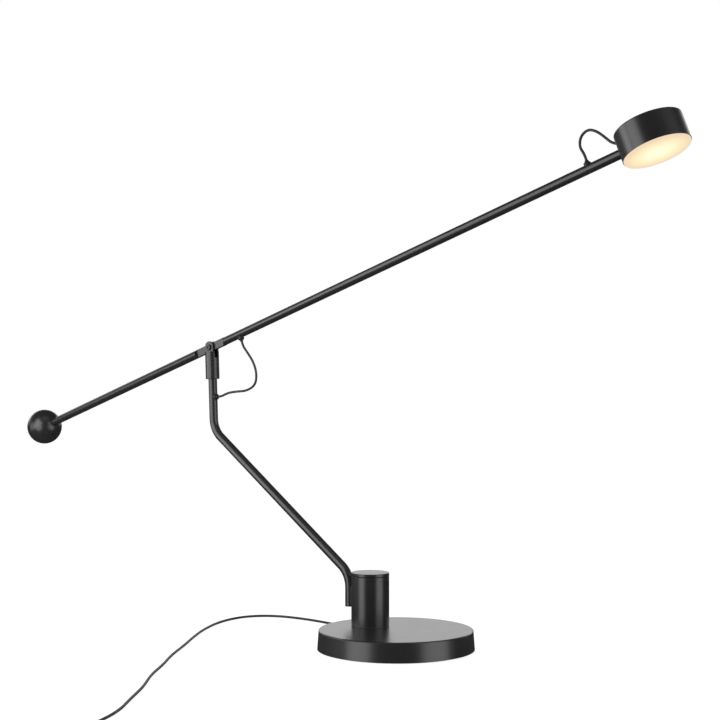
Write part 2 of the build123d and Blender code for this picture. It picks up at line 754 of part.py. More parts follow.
spigot_screw_frame = fork_frame * Pos(0, 0, web_top + spigot_washer_height)
spigot_screw = screw(
    spigot_screw_frame, spigot_screw_radius, spigot_screw_head_radius, spigot_screw_head_height,
    spigot_screw_length, spigot_screw_head_radius / 2,
)
parts["spigot_screw"] = Compound(children=[spigot_screw, spigot_washer])

ear_top = 2 * fork_radius
fork = rod(fork_frame, fork_radius, -fork_below_pivot, ear_top)
ears = rod(pivot_frame, ear_radius, -ear_face, ear_face)
ears += block(fork_frame, (-ear_radius, ear_radius), (-ear_face, ear_face), (-slot_depth, 0))
below_ears = block(fork_frame, (-ear_top, ear_top), (-ear_top, ear_top), (-fork_below_pivot, -ear_drop))
fork &= ears + below_ears
fork = fillet(fork.edges().group_by(Axis(tuple(pivot), tuple(lean_axis)))[0], fork_edge_radius)
slot_half = slot_width / 2
fork -= block(fork_frame, (-ear_top, ear_top), (-slot_half, slot_half), (-slot_depth, ear_top))
fork -= rod(fork_frame, bush_radius + press_gap, -fork_below_pivot, web_bottom)
fork -= rod(fork_frame, spigot_screw_radius + running_gap, web_bottom, -slot_depth)
fork -= rod(fork_frame, spigot_screw_head_radius + loose_gap, web_top, -slot_depth)
head_seat = -ear_face
nut_seat_y = ear_face
fork -= rod(pivot_frame, pivot_bolt_radius + press_gap, -fork_radius, fork_radius)
parts["fork_sleeve"] = fork

bolt = rod(pivot_frame, pivot_bolt_radius, head_seat, nut_seat_y + pivot_nut_height)
bolt_head = rod(pivot_frame, pivot_head_radius, head_seat - pivot_head_height, head_seat)
bolt_head = fillet(bolt_head.edges().group_by(Axis.Y)[0], pivot_head_edge_radius)
bolt += bolt_head
bolt_face = head_seat - pivot_head_height
bolt -= hexagon_bar(pivot_frame, pivot_socket_radius, bolt_face, bolt_face + pivot_socket_depth)
pivot_nut = hexagon_bar(pivot_frame, pivot_nut_radius, nut_seat_y, nut_seat_y + pivot_nut_height)
pivot_nut -= rod(pivot_frame, pivot_bolt_radius + press_gap, 0, ear_top)
parts["pivot_bolt"] = Compound(children=[bolt, pivot_nut])
parts["friction_washers"] = Compound(
    children=[
        ring(pivot_frame, friction_washer_radius, pivot_bolt_radius + press_gap, -slot_half,
             -slot_half + friction_washer_height),
        ring(pivot_frame, friction_washer_radius, pivot_bolt_radius + press_gap,
             slot_half - friction_washer_height, slot_half),
    ]
)

# ---------------------------------------------------------------- arm
flat_half = slot_half - friction_washer_height
bar = rod(arm_frame, rear_radius, -bar_rear, bar_front - bar_nose)
bar += taper(arm_frame, rear_radius, arm_radius, bar_front - bar_nose, bar_front)
bar += rod(arm_frame, arm_bore - press_gap, bar_front, bar_front + bar_spigot)
bar += rod(arm_frame, bar_spigot_radius, -bar_rear - bar_spigot, -bar_rear)
for side in (-1, 1):
    cutter = block(
        pivot_frame,
        (-flat_rear, flat_front),
        (-rear_radius - cut_past, rear_radius + cut_past),
        tuple(sorted((side * flat_half, side * (rear_radius + cut_past)))),
    )
    for end in (-flat_rear, flat_front):
        cutter += rod(
            pivot_frame * Pos(end, 0, 0), rear_radius,
            *sorted((side * flat_half, side * (rear_radius + cut_past))),
        )
    bar -= cutter
bar -= rod(pivot_frame, pivot_bolt_radius + running_gap, -rear_radius, rear_radius)
parts["pivot_bar"] = bar

rod_front = -bar_rear
rod_back = -ball_centre + ball_radius - ball_socket_depth
rear = rod(arm_frame, rear_radius, rod_back, rod_front)
rear -= rod(arm_frame, bar_spigot_radius + press_gap, rod_back, rod_front)
ball_frame = arm_frame * Pos(0, 0, -ball_centre)
grub_frame = ball_frame * Pos(0, 0, ball_radius - grub_inset) * Rot(0, -90, 0)
parts["rear_rod"] = rear
ball = ball_frame * Sphere(ball_radius)
ball -= rod(ball_frame, rear_radius + press_gap, ball_radius - ball_socket_depth, ball_radius)
ball -= rod(grub_frame, grub_radius + press_gap, rear_radius, ball_radius)
parts["counterweight_ball"] = ball
grub_end = sqrt(ball_radius ** 2 - (ball_radius - grub_inset) ** 2) - grub_sink
grub = rod(grub_frame, grub_radius, rear_radius + press_gap, grub_end)
grub -= hexagon_bar(grub_frame, grub_socket_radius, grub_end - grub_socket_depth, grub_end)
parts["ball_grub_screw"] = grub

lower_grommet_frame = arm_frame * Pos(0, 0, lower_grommet_at) * Rot(0, -90, 0)
upper_grommet_frame = arm_frame * Pos(0, 0, upper_grommet_at) * Rot(0, 90, 0)
tube = ring(arm_frame, arm_radius, arm_bore, bar_front, arm_length)
tube -= rod(lower_grommet_frame, grommet_nose_radius, 0, arm_radius + cut_past)
tube -= rod(upper_grommet_frame, grommet_nose_radius, 0, arm_radius + cut_past)
parts["arm_tube"] = tube
parts["arm_grommets"] = Compound(
    children=[
        grommet(lower_grommet_frame, arm_radius, arm_bore),
        grommet(upper_grommet_frame, arm_radius, arm_bore),
    ]
)


def on_arm(along, up):
    """A point in the arm's plane from its length along the arm and its height above the arm's axis."""
    return pivot + arm_along * along + arm_up * up


arm_lead_route = [
    on_arm(lower_grommet_at, -arm_radius - grommet_height),
    on_arm(lower_grommet_at, 0),
    on_arm(upper_grommet_at, 0),
    on_arm(upper_grommet_at, arm_radius + grommet_height),
]
arm_lead_path = FilletPolyline(*arm_lead_route, radius=grommet_turn_radius)
parts["arm_lead"] = tube_along(arm_lead_path, lead_radius)
end_bush = rod(arm_frame, arm_bore - press_gap, arm_length - end_bush_length, arm_length)
parts["arm_end_bush"] = end_bush - rod(
    arm_frame, head_bolt_radius + press_gap, arm_length - end_bush_length, arm_length
)

# ---------------------------------------------------------------- head
half_height = head_height / 2
shell_bottom = -half_height + diffuser_height
inner_radius = head_radius - head_wall
inner_top = half_height - head_top_wall
sink_top = -sink_drop
sink_bottom = sink_top - sink_height
board_bottom = sink_bottom - led_board_height
shell_body = rod(head_frame, head_radius, shell_bottom, half_height)
shell_body = fillet(shell_body.edges().group_by(Axis((0, 0, 0), head_up))[-1], head_edge_radius)
shell = shell_body - rod(head_frame, inner_radius, shell_bottom, inner_top)
boss_places = [
    head_frame * Rot(0, 0, angle) * Pos(head_screw_circle, 0, 0) for angle in head_screw_angles
]
for place in boss_places:
    shell += rod(place, head_boss_radius, sink_top, inner_top)
    shell -= rod(place, head_screw_radius + press_gap, sink_top, sink_top + head_screw_length)
wall_at_arm = head_centre - head_radius
shell -= rod(
    arm_frame, head_bolt_radius + running_gap, wall_at_arm - head_wall, wall_at_arm + head_bore_reach
)
gland_frame = arm_frame * Pos(gland_rise, 0, wall_at_arm) * Rot(0, -gland_slant, 0)
shell -= rod(gland_frame, gland_radius + press_gap, -gland_length, head_bore_reach)
parts["head_shell"] = shell

seat_plane = wall_at_arm + head_wall + seat_depth
seat = block(
    arm_frame,
    (-seat_width / 2, seat_rise),
    (-seat_width / 2, seat_width / 2),
    (wall_at_arm - head_wall, seat_plane),
)
seat &= rod(head_frame, inner_radius - press_gap, sink_top + loose_gap, inner_top)
seat -= rod(arm_frame, head_bolt_radius + running_gap, wall_at_arm - head_wall, seat_plane)
parts["head_swivel_seat"] = seat
collar = rod(arm_frame, arm_radius, arm_length + collar_gap, wall_at_arm + 2 * head_wall)
collar -= rod(head_frame, head_radius, shell_bottom - head_height, half_height + head_height)
collar -= rod(arm_frame, head_bolt_radius + running_gap, arm_length, wall_at_arm + 2 * head_wall)
parts["head_collar"] = collar
head_washer = ring(
    arm_frame, head_washer_radius, head_bolt_radius + press_gap, seat_plane, seat_plane + head_washer_height
)
head_bolt_frame = arm_frame * Pos(0, 0, seat_plane + head_washer_height)
bolt_reach = seat_plane + head_washer_height - (arm_length - end_bush_length) - screw_end_room
head_bolt = screw(
    head_bolt_frame, head_bolt_radius, head_bolt_head_radius, head_bolt_head_height, bolt_reach,
    head_bolt_head_radius / 2,
)
parts["head_bolt"] = Compound(children=[head_bolt, head_washer])

sink = rod(head_frame, inner_radius - loose_gap, sink_bottom, sink_top)
for i in range(fin_count):
    fin_y = (i - (fin_count - 1) / 2) * fin_pitch
    sink += block(
        head_frame,
        (fin_start, fin_start + fin_length),
        (fin_y - fin_width / 2, fin_y + fin_width / 2),
        (sink_top, sink_top + fin_height),
    )
for place in boss_places:
    sink -= rod(place, head_screw_radius + press_gap, sink_bottom, sink_top)
parts["heat_sink"] = sink
parts["head_screws"] = Compound(
    children=[
        screw(place * Pos(0, 0, sink_bottom) * Rot(180, 0, 0), head_screw_radius, head_screw_head_radius,
              head_screw_head_height, head_screw_length)
        for place in boss_places
    ]
)
parts["led_board"] = rod(head_frame, led_board_radius, board_bottom, sink_bottom)
chips = []
for count, circle in chip_circles:
    for place in around(head_frame, count, circle):
        chips.append(
            block(
                place,
                (-chip_size / 2, chip_size / 2),
                (-chip_size / 2, chip_size / 2),
                (board_bottom - chip_height, board_bottom),
            )
        )
parts["led_chips"] = Compound(children=chips)

spigot_outer = inner_radius - press_gap
spigot_top = shell_bottom + diffuser_spigot
diffuser = rod(head_frame, diffuser_radius, -half_height, shell_bottom)
diffuser = fillet(diffuser.edges().group_by(Axis((0, 0, 0), head_up))[0], diffuser_edge_radius)
diffuser += ring(head_frame, spigot_outer, spigot_outer - diffuser_spigot_wall, shell_bottom, spigot_top)
parts["diffuser"] = diffuser
reflector_bottom = spigot_top + press_gap
reflector_outer = spigot_outer - diffuser_spigot_wall
reflector = taper(head_frame, reflector_outer, reflector_inner_radius, reflector_bottom, board_bottom)
reflector -= taper(
    head_frame, reflector_outer - reflector_wall, reflector_inner_radius - reflector_wall,
    reflector_bottom, board_bottom,
)
parts["reflector"] = reflector

gland = rod(gland_frame, gland_radius, -gland_taper_root, gland_inside)
gland += taper(gland_frame, gland_tip_radius, gland_radius, -gland_length, -gland_taper_root)
gland -= rod(gland_frame, lead_radius + lead_gap, -gland_length, gland_inside)
parts["head_gland"] = gland

terminal_place = head_frame * Pos(-terminal_inset, terminal_side, 0)
terminal_half = terminal_size / 2
terminal = block(
    terminal_place,
    (-terminal_half, terminal_half),
    (-terminal_half, terminal_half),
    (sink_top, sink_top + terminal_height),
)
terminal_top = (terminal_place * Pos(0, 0, sink_top + terminal_height)).position
gland_mouth = (gland_frame * Pos(0, 0, gland_inside)).position
head_lead_route = [
    gland_mouth,
    (gland_frame * Pos(0, 0, gland_inside + head_lead_run)).position,
    terminal_top + head_up * terminal_rise,
    terminal_top,
]
head_lead_path = FilletPolyline(*head_lead_route, radius=[lead_turn_radius, terminal_turn_radius])
head_lead = tube_along(head_lead_path, lead_radius)
parts["head_lead"] = Compound(children=[head_lead, terminal])

# ---------------------------------------------------------------- lead loops across the joints
stem_tip = grommet_axis + grommet_out * (stem_radius + grommet_height)
arm_tip = on_arm(lower_grommet_at, -arm_radius - grommet_height)
pivot_points = [
    stem_tip,
    stem_tip + grommet_out * grommet_run,
    *[pivot + Vector(x, 0, z) for x, z in pivot_loop_route],
    arm_tip - arm_up * grommet_run,
    arm_tip,
]
pivot_radii = route_radii(pivot_points, "pivot loop")
first_half = pivot_points[: pivot_loop_corner_count + 1]
second_half = pivot_points[pivot_loop_corner_count + 1:]
meeting = (first_half[-1] + second_half[0]) / 2
lower_radii = pivot_radii[:pivot_loop_corner_count]
upper_radii = pivot_radii[pivot_loop_corner_count:]
parts["pivot_loop_lower"] = lead([*first_half, meeting], lower_radii, "pivot loop, lower half")
parts["pivot_loop_upper"] = lead([meeting, *second_half], upper_radii, "pivot loop, upper half")
head_points = [
    on_arm(upper_grommet_at, arm_radius + grommet_height),
    on_arm(upper_grommet_at, arm_radius + grommet_height + grommet_run),
    *[on_arm(upper_grommet_at + along, up) for along, up in head_loop_route],
    (gland_frame * Pos(0, 0, -gland_length - gland_run)).position,
    gland_mouth,
]
parts["head_loop"] = lead(head_points, route_radii(head_points, "head loop"), "head loop")

# ---------------------------------------------------------------- supply lead outside
coil_pitch = 2 * lead_radius + coil_gap
coil_outer = coil_middle_radius + coil_pitch * coil_quarters_in / 8
quarter_step = coil_pitch / 4
coil_points = []
total_quarters = coil_quarters_in * coil_layers
for i in range(total_quarters + 1):
    layer, step = divmod(i, coil_quarters_in)
    inward = layer % 2 == 0
    depth = step if inward else coil_quarters_in - step
    reach = coil_outer - quarter_step * depth
    angle = radians(coil_start_angle + 90 * i)
    turning = step == 0
    climbing = turning and 0 < i < total_quarters
    height = lead_radius + coil_pitch * (layer - 0.5 if climbing else min(layer, coil_layers - 1))
    out = Vector(cos(angle), sin(angle), 0)
    round_way = Vector(-sin(angle), cos(angle), 0)
    drift = 0 if turning else (-1 if inward else 1) * coil_pitch / (2 * pi * reach)
    rise = 1.5 * (coil_pitch / 2) / (reach * pi / 2) if climbing else 0
    way = (round_way + out * drift + Vector(0, 0, rise)).normalized()
    coil_points.append((Vector(*coil_centre, height) + out * reach, way))
coil_arcs = []
for (start, start_way), (end, end_way) in zip(coil_points, coil_points[1:]):
    coil_arcs += quarter_turn_arcs(start, start_way, end, end_way)
coil_path = Wire(coil_arcs)
parts["cord_coil"] = tube_along(coil_path, lead_radius)
line = [tuple(coil_path @ (i / coil_sample_count)) for i in range(coil_sample_count + 1)]
apart = round(2 * pi * lead_radius * coil_sample_count / coil_path.length) + 1
least = min(
    dist(line[i], line[j]) for i in range(len(line)) for j in range(i + apart, len(line))
)
print("coil length", round(coil_path.length, 1), "least gap to itself", round(least - 2 * lead_radius, 3))

coil_entry, entry_way = coil_points[0]
coil_leave, leave_way = coil_points[-1]
relief_mouth = exit_out * relief_end + Vector(0, 0, exit_height)
cord_points = [relief_mouth, *[Vector(*p) for p in cord_route], coil_entry]
parts["cord_run"] = lead(cord_points, route_radii(cord_points, "supply lead"), "supply lead")

# Power adapter, lying beside the coil with its strain relief towards it
adapter_way = Vector(cos(radians(adapter_angle)), sin(radians(adapter_angle)), 0)
adapter_mouth = coil_leave + leave_way * tail_start + adapter_way * tail_reach
adapter_origin = Vector(adapter_mouth.X, adapter_mouth.Y, adapter_height / 2)
adapter_frame = Plane(origin=adapter_origin, x_dir=(0, 0, 1), z_dir=adapter_way).location
tail_points = [
    coil_leave,
    coil_leave + leave_way * tail_start,
    adapter_origin - adapter_way * tail_bend,
    adapter_origin,
]
parts["cord_tail"] = lead(tail_points, route_radii(tail_points, "tail"), "tail at the adapter")
adapter_relief = taper(adapter_frame, relief_tip_radius, relief_root_radius, 0, adapter_relief_length)
adapter_relief += rod(
    adapter_frame, relief_root_radius, adapter_relief_length, adapter_relief_length + adapter_wall
)
adapter_relief += rod(
    adapter_frame, relief_flange_radius, adapter_relief_length + adapter_wall,
    adapter_relief_length + adapter_wall + relief_flange_height,
)
adapter_relief -= rod(
    adapter_frame, lead_radius + lead_gap, 0, adapter_relief_length + adapter_wall + relief_flange_height
)
parts["adapter_relief"] = adapter_relief
half_tall = adapter_height / 2
half_wide = adapter_width / 2


def adapter_box(start, end, shrink):
    """The adapter's rounded outer shape, or its inside where shrink is the wall."""
    box = block(
        adapter_frame,
        (-half_tall + shrink, half_tall - shrink),
        (-half_wide + shrink, half_wide - shrink),
        (start, end),
    )
    long_edges = box.edges().filter_by(Axis(tuple(adapter_origin), adapter_way))
    return fillet(long_edges, adapter_edge_radius - shrink / 2)


seam = adapter_relief_length + adapter_length - adapter_front_depth
front_end = adapter_relief_length + adapter_length
rear_shell = adapter_box(adapter_relief_length, seam, 0) - adapter_box(
    adapter_relief_length + adapter_wall, seam, adapter_wall
)
rear_shell -= rod(
    adapter_frame, relief_root_radius + press_gap, adapter_relief_length, adapter_relief_length + adapter_wall
)
parts["adapter_rear_shell"] = rear_shell
front_shell = adapter_box(seam, front_end, 0) - adapter_box(seam, front_end - pin_root, adapter_wall)
pins = []
for side in (-1, 1):
    place = adapter_frame * Pos(0, side * pin_spacing / 2, 0)
    front_shell -= rod(place, pin_radius + press_gap, front_end - pin_root, front_end)
    pin = rod(place, pin_radius, front_end - pin_root, front_end + pin_length)
    pin_end = (place * Pos(0, 0, front_end + pin_length)).position
    tip = pin.edges().filter_by(GeomType.CIRCLE).sort_by_distance(pin_end)[0]
    pins.append(fillet(tip, pin_tip_radius))
parts["adapter_front_shell"] = front_shell
parts["adapter_pins"] = Compound(children=pins)
parts["adapter_board"] = block(
    adapter_frame,
    (-adapter_board_height / 2, adapter_board_height / 2),
    (-half_wide + adapter_wall + press_gap, half_wide - adapter_wall - press_gap),
    (adapter_relief_length + adapter_board_start, front_end - pin_root - loose_gap),
)

os.makedirs("parts", exist_ok=True)
for name, shape in parts.items():
    export_step(shape, f"parts/{name}.step")

print("nodes", len(parts))
print("pivot", pivot, "fork axis", lean_axis, "arm axis", arm_along, "head", head_middle)
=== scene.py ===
import json
import math

import bpy
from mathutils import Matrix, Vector


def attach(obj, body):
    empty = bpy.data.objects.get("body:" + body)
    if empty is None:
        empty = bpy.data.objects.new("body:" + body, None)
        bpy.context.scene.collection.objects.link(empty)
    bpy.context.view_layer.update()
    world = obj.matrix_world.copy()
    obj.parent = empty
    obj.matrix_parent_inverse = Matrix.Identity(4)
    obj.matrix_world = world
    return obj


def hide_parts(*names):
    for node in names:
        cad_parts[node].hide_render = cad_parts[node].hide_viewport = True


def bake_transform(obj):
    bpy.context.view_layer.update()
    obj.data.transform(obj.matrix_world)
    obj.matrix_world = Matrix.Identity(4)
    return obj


# Looks of the counterweight balance desk lamp, in metres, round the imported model.

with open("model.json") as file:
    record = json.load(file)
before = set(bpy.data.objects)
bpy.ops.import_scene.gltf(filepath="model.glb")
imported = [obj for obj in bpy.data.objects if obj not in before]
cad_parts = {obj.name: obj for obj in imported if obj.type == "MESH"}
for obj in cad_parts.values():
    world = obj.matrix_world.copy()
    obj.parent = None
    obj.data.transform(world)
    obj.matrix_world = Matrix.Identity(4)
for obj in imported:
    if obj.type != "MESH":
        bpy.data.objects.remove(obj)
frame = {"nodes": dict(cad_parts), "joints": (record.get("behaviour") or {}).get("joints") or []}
nodes = frame["nodes"]
joints = {joint["name"]: joint for joint in frame["joints"]}
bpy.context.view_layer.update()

# ---------------------------------------------------------------- camera
LENS_MM = 80.596
SENSOR_MM = 36.0
CLIP_NEAR = 0.05
CLIP_FAR = 60.0
CAMERA_PLACE = Vector((1.278445, -1.382551, 0.338042))
CAMERA_TURN = math.radians(44.038)
TOWARDS_SCENE = Vector((-math.sin(CAMERA_TURN), math.cos(CAMERA_TURN), 0.0))
TOWARDS_RIGHT = Vector((math.cos(CAMERA_TURN), math.sin(CAMERA_TURN), 0.0))


def make_camera():
    """A level camera at the photograph's viewing angle."""
    data = bpy.data.cameras.new("camera")
    data.lens = LENS_MM
    data.sensor_width = SENSOR_MM
    data.clip_start = CLIP_NEAR
    data.clip_end = CLIP_FAR
    camera = bpy.data.objects.new("camera", data)
    camera.location = CAMERA_PLACE
    camera.rotation_euler = (math.pi / 2, 0.0, CAMERA_TURN)
    bpy.context.scene.collection.objects.link(camera)
    bpy.context.scene.camera = camera


# ---------------------------------------------------------------- places on the lamp
PIVOT = Vector(joints["arm_tilt"]["pos_m"])
ARM_ANGLE = math.radians(16.94)
ARM_ALONG = Vector((math.cos(ARM_ANGLE), 0.0, math.sin(ARM_ANGLE)))
ARM_UP = Vector((-math.sin(ARM_ANGLE), 0.0, math.cos(ARM_ANGLE)))
STEM_LEAN = math.radians(2.4)
STEM_UP = Vector((-math.sin(STEM_LEAN), 0.0, math.cos(STEM_LEAN)))
STEM_OUT = Vector((math.cos(STEM_LEAN), 0.0, math.sin(STEM_LEAN)))
HEAD_REACH = 0.7142         # from the pivot along the arm to the head's axis
HEAD_RISE = 0.0005          # and above the arm's axis
HEAD_TILT = math.radians(23.1)
HEAD_OUT = Vector((math.cos(HEAD_TILT), 0.0, math.sin(HEAD_TILT)))


def on_arm(along, up):
    """A point in the arm's plane, from its length along the arm and its height above the arm's axis."""
    return PIVOT + ARM_ALONG * along + ARM_UP * up


HEAD_MIDDLE = on_arm(HEAD_REACH, HEAD_RISE)

# ---------------------------------------------------------------- routes of the leads
LEAD_DIAMETER = 0.003
STEM_GROMMET_DROP = 0.0648  # from the pivot down the stem
STEM_GROMMET_TOP = 0.0080   # from the stem's axis to its grommet's collar, where a lead starts
LOWER_GROMMET_AT = 0.0582   # from the pivot along the arm
UPPER_GROMMET_AT = 0.631
ARM_GROMMET_TOP = 0.0076    # from the arm's axis to a grommet's collar
GROMMET_RUN = 0.008         # how far a lead goes straight on from its grommet
GLAND_PLACE = on_arm(0.6777, 0.0092)
GLAND_SLANT = math.radians(20.0)
GLAND_WAY = ARM_ALONG * math.cos(GLAND_SLANT) - ARM_UP * math.sin(GLAND_SLANT)
GLAND_RUN = 0.0105          # how far the lead goes straight towards the head's gland
GLAND_DEPTH = 0.0040        # and into it

STEM_GROMMET = PIVOT - STEM_UP * STEM_GROMMET_DROP
PIVOT_LOOP = [
    STEM_GROMMET + STEM_OUT * STEM_GROMMET_TOP,
    STEM_GROMMET + STEM_OUT * (STEM_GROMMET_TOP + GROMMET_RUN),
    Vector((-0.2970, 0.0, 0.2954)),
    Vector((-0.2800, 0.0, 0.2974)),
    Vector((-0.2600, 0.0, 0.2986)),
    Vector((-0.2436, 0.0, 0.3062)),
    Vector((-0.2412, 0.0, 0.3206)),
    Vector((-0.2469, 0.0, 0.3346)),
    Vector((-0.2581, 0.0, 0.3470)),
    on_arm(LOWER_GROMMET_AT, -ARM_GROMMET_TOP - GROMMET_RUN),
    on_arm(LOWER_GROMMET_AT, -ARM_GROMMET_TOP),
]
PIVOT_LOOP_SPLIT = 4        # the halves meet in the middle of the run after this point
HEAD_LOOP = [
    on_arm(UPPER_GROMMET_AT, ARM_GROMMET_TOP),
    on_arm(UPPER_GROMMET_AT, ARM_GROMMET_TOP + GROMMET_RUN),
    on_arm(0.6266, 0.0265),
    on_arm(0.6312, 0.0369),
    on_arm(0.6422, 0.0404),
    on_arm(0.6520, 0.0342),
    on_arm(0.6600, 0.0240),
    GLAND_PLACE - GLAND_WAY * GLAND_RUN,
    GLAND_PLACE + GLAND_WAY * GLAND_DEPTH,
]

# The supply lead on the desk, from its strain relief in the base's rim to the coil
EXIT_TURN = math.radians(154.0)
RELIEF_REACH = 0.115434     # from the base's centre to the relief's mouth
RELIEF_HEIGHT = 0.009
RELIEF_MOUTH = Vector((
    RELIEF_REACH * math.cos(EXIT_TURN), RELIEF_REACH * math.sin(EXIT_TURN), RELIEF_HEIGHT,
))
LEAD_ON_DESK = [
    (-0.1175, 0.0560, 0.0084), (-0.1390, 0.0642, 0.0034), (-0.1680, 0.0706, 0.0015),
    (-0.2040, 0.0736, 0.0015), (-0.2400, 0.0728, 0.0015), (-0.2725, 0.0660, 0.0015),
    (-0.2945, 0.0475, 0.0015), (-0.3010, 0.0190, 0.0015), (-0.2900, -0.0225, 0.0015),
    (-0.2610, -0.0720, 0.0015), (-0.2280, -0.1160, 0.0015), (-0.1910, -0.1615, 0.0015),
    (-0.1555, -0.2090, 0.0015), (-0.1160, -0.2535, 0.0015), (-0.0790, -0.3005, 0.0015),
    (-0.0370, -0.3430, 0.0015), (0.0005, -0.3890, 0.0015), (0.0380, -0.4325, 0.0015),
    (0.0640, -0.4795, 0.0015), (0.0810, -0.5220, 0.0015),
]
# The coil: layers that spiral in and out again, with a climb where they reverse
COIL_CENTRE = Vector((0.113, -0.546, 0.0))
COIL_START = math.radians(202.0)
COIL_MIDDLE_RADIUS = 0.017
COIL_PITCH = 0.00355        # between neighbouring turns, and between layers
COIL_LAYERS = 4
COIL_LAYER_TURNS = 2
COIL_CLIMB_TURNS = 0.5
COIL_TURN_POINTS = 16
# The tail from the coil to the power adapter
ADAPTER_TURN = math.radians(-20.0)
ADAPTER_MIDDLE_HEIGHT = 0.0135
TAIL_START = 0.012          # straight on from the coil's last turn
TAIL_REACH = 0.022          # from there to the adapter's mouth
TAIL_BEND = 0.0072          # from the last bend to the mouth


def coil_point(turns):
    """The coil's middle line at a number of turns from its start."""
    layer = min(int(turns // COIL_LAYER_TURNS), COIL_LAYERS - 1)
    into = turns - layer * COIL_LAYER_TURNS
    depth = into if layer % 2 == 0 else COIL_LAYER_TURNS - into
    reach = COIL_MIDDLE_RADIUS + COIL_PITCH * (COIL_LAYER_TURNS / 2 - depth)
    level = float(layer)
    for change in range(1, COIL_LAYERS):
        climb = (turns - change * COIL_LAYER_TURNS) / COIL_CLIMB_TURNS + 0.5
        if 0.0 < climb < 1.0:
            level = change - 1 + climb * climb * (3 - 2 * climb)
    angle = COIL_START + 2 * math.pi * turns
    out = Vector((math.cos(angle), math.sin(angle), 0.0))
    return COIL_CENTRE + out * reach + Vector((0, 0, LEAD_DIAMETER / 2 + COIL_PITCH * level))


def supply_route():
    """Every control point of the supply lead, from the strain relief to the adapter."""
    steps = COIL_LAYERS * COIL_LAYER_TURNS * COIL_TURN_POINTS
    coil = [coil_point(i / COIL_TURN_POINTS) for i in range(steps + 1)]
    leave = coil[-1]
    out = (leave - COIL_CENTRE).to_2d().normalized()
    leave_way = Vector((-out.y, out.x, 0.0))
    adapter_way = Vector((math.cos(ADAPTER_TURN), math.sin(ADAPTER_TURN), 0.0))
    mouth = leave + leave_way * TAIL_START + adapter_way * TAIL_REACH
    mouth.z = ADAPTER_MIDDLE_HEIGHT
    tail = [leave + leave_way * TAIL_START, mouth - adapter_way * TAIL_BEND, mouth]
    return [RELIEF_MOUTH, *[Vector(p) for p in LEAD_ON_DESK], *coil, *tail]


# ---------------------------------------------------------------- leads
SUPPLY_LEAD_STEPS = 6       # steps of the smooth line for each control point
SUPPLY_LEAD_BEVEL = 5
LOOP_STEPS = 12
LOOP_SIDES = 20


def nurbs_curve(name, points, steps):
    """A smooth curve with these control points."""
    data = bpy.data.curves.new(name, "CURVE")
    data.dimensions = "3D"
    spline = data.splines.new("NURBS")
    spline.points.add(len(points) - 1)
    for target, place in zip(spline.points, points):
        target.co = (*place, 1.0)
    spline.order_u = 3
    spline.use_endpoint_u = True
    spline.resolution_u = steps
    data.resolution_u = steps
    curve = bpy.data.objects.new(name, data)
    bpy.context.scene.collection.objects.link(curve)
    return curve


def centreline(points, steps):
    """Points read along the smooth curve with these control points, from its first end to its last."""
    curve = nurbs_curve("route", points, steps)
    bpy.context.view_layer.update()
    mesh = bpy.data.meshes.new_from_object(curve)
    line = [v.co.copy() for v in mesh.vertices]
    bpy.data.objects.remove(curve)
    bpy.data.meshes.remove(mesh)
    if (line[0] - points[0]).length > (line[-1] - points[0]).length:
        line.reverse()
    return line


def line_length(line):
    """The length along a line of points."""
    return sum((b - a).length for a, b in zip(line, line[1:]))


def new_mesh(name, places, faces, smooth=True):
    """A mesh object from vertex places and faces."""
    mesh = bpy.data.meshes.new(name)
    mesh.from_pydata([tuple(p) for p in places], [], faces)
    mesh.validate()
    if smooth:
        mesh.shade_smooth()
    piece = bpy.data.objects.new(name, mesh)
    bpy.context.scene.collection.objects.link(piece)
    return piece


def tube_mesh(name, line, radius, sides):
    """A closed round tube whose rings follow a line."""
    places = []
    faces = []
    way = (line[1] - line[0]).normalized()
    side = way.orthogonal().normalized()
    for i, point in enumerate(line):
        before = line[max(i - 1, 0)]
        after = line[min(i + 1, len(line) - 1)]
        way = (after - before).normalized()
        side = (side - way * side.dot(way)).normalized()
        other = way.cross(side)
        for k in range(sides):
            angle = 2 * math.pi * k / sides
            places.append(point + side * (radius * math.cos(angle)) + other * (radius * math.sin(angle)))
    for i in range(len(line) - 1):
        for k in range(sides):
            a = i * sides + k
            b = i * sides + (k + 1) % sides
            faces.append((a, b, b + sides, a + sides))
    faces.append(tuple(range(sides - 1, -1, -1)))
    last = (len(line) - 1) * sides
    faces.append(tuple(range(last, last + sides)))
    return new_mesh(name, places, faces)


def make_supply_lead(material):
    """The lead on the desk, from the base to the power adapter, in one piece with its coil."""
    points = supply_route()
    lead = nurbs_curve("supply_lead", points, SUPPLY_LEAD_STEPS)
    lead.data.bevel_depth = LEAD_DIAMETER / 2
    lead.data.bevel_resolution = SUPPLY_LEAD_BEVEL
    lead.data.use_fill_caps = True
    lead.data.materials.append(material)
    length = line_length(centreline(points, SUPPLY_LEAD_STEPS))
    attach(lead, "base")
    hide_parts("cord_run", "cord_coil", "cord_tail")
    print("supply_lead", round(length, 4))


def make_loop(name, line, node, material):
    """A lead as a round tube along a line, in place of the CAD node that it hides."""
    loop = tube_mesh(name, line, LEAD_DIAMETER / 2, LOOP_SIDES)
    loop.data.materials.append(material)
    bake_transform(loop)
    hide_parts(node)


